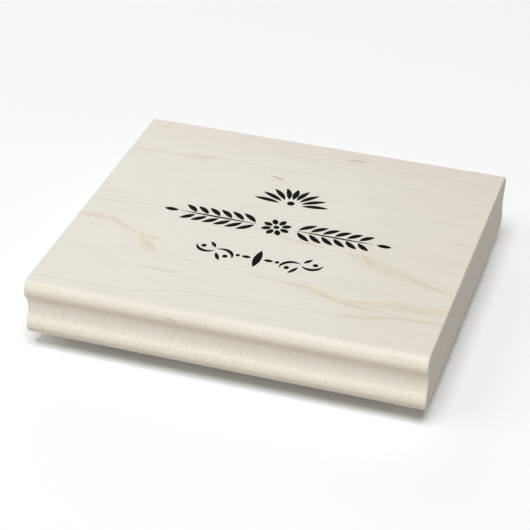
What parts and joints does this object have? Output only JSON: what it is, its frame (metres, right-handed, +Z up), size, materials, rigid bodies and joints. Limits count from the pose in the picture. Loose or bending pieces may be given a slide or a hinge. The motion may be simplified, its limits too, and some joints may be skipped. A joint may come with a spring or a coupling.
{
  "type": "rubber stamp",
  "caption": "Wide wooden stamp block with a rounded finger cove along both long sides, an ornamental print on top, and an engraved rubber die on a foam cushion below.",
  "frame": {"origin": "in the plane of the printing face, under the middle of the stamp", "axes": "+X along the finger coves, +Y across them towards the upper edge of the printed design, +Z up through the block's top"},
  "size_m": [0.1244, 0.113, 0.0248],
  "materials": {
    "maple": "fine sanded, unsealed",
    "ink": "matte printing ink",
    "adhesive": "translucent film",
    "foam": "closed-cell foam, cut edge",
    "die_rubber": "matte, laser engraved"
  },
  "bodies": {
    "block": {"maple_block": "maple", "index_print": "ink", "block_adhesive": "adhesive", "foam_cushion": "foam"},
    "die": {"rubber_die": "die_rubber", "die_adhesive": "adhesive"}
  },
  "joints": [
    {"name": "cushion_press", "type": "slide", "parent": "block", "child": "die", "axis": [0, 0, 1], "range_m": [0, 0.0006], "stiffness_N_per_m": 160000, "deforming": ["foam_cushion"]}
  ]
}
